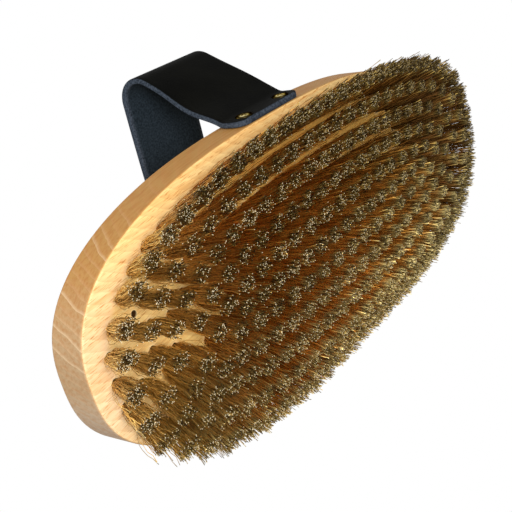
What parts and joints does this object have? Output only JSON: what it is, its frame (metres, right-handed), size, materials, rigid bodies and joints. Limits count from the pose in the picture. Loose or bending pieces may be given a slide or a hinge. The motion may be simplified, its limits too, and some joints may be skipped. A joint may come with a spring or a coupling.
{
  "type": "wire brush",
  "caption": "Oval hand brush with a beech block, dense tufts of crimped brass wire and a leather hand strap.",
  "frame": {"origin": "on the plane of the bristle tips, under the middle of the block", "axes": "+Z from the bristle tips to the strap, +X along the length of the block, Y across it along the strap"},
  "size_m": [0.2113, 0.1264, 0.0708],
  "materials": {
    "beech": "plain sanded beech, thin clear coat",
    "brass_wire": "crimped drawn brass wire, brown-gold, bright cut tips",
    "leather": "black grained outside, blue-grey suede inside and on cut edges",
    "brass": "bright pressed and turned brass"
  },
  "bodies": {
    "root": {"block": "beech", "bristle_outer_row": "brass_wire", "bristle_second_row": "brass_wire", "bristle_third_row": "brass_wire", "bristle_inner_rows": "brass_wire", "strap": "leather", "washer_front_left": "brass", "screw_front_left": "brass", "washer_front_right": "brass", "screw_front_right": "brass", "washer_rear_left": "brass", "screw_rear_left": "brass", "washer_rear_right": "brass", "screw_rear_right": "brass"}
  },
  "joints": []
}
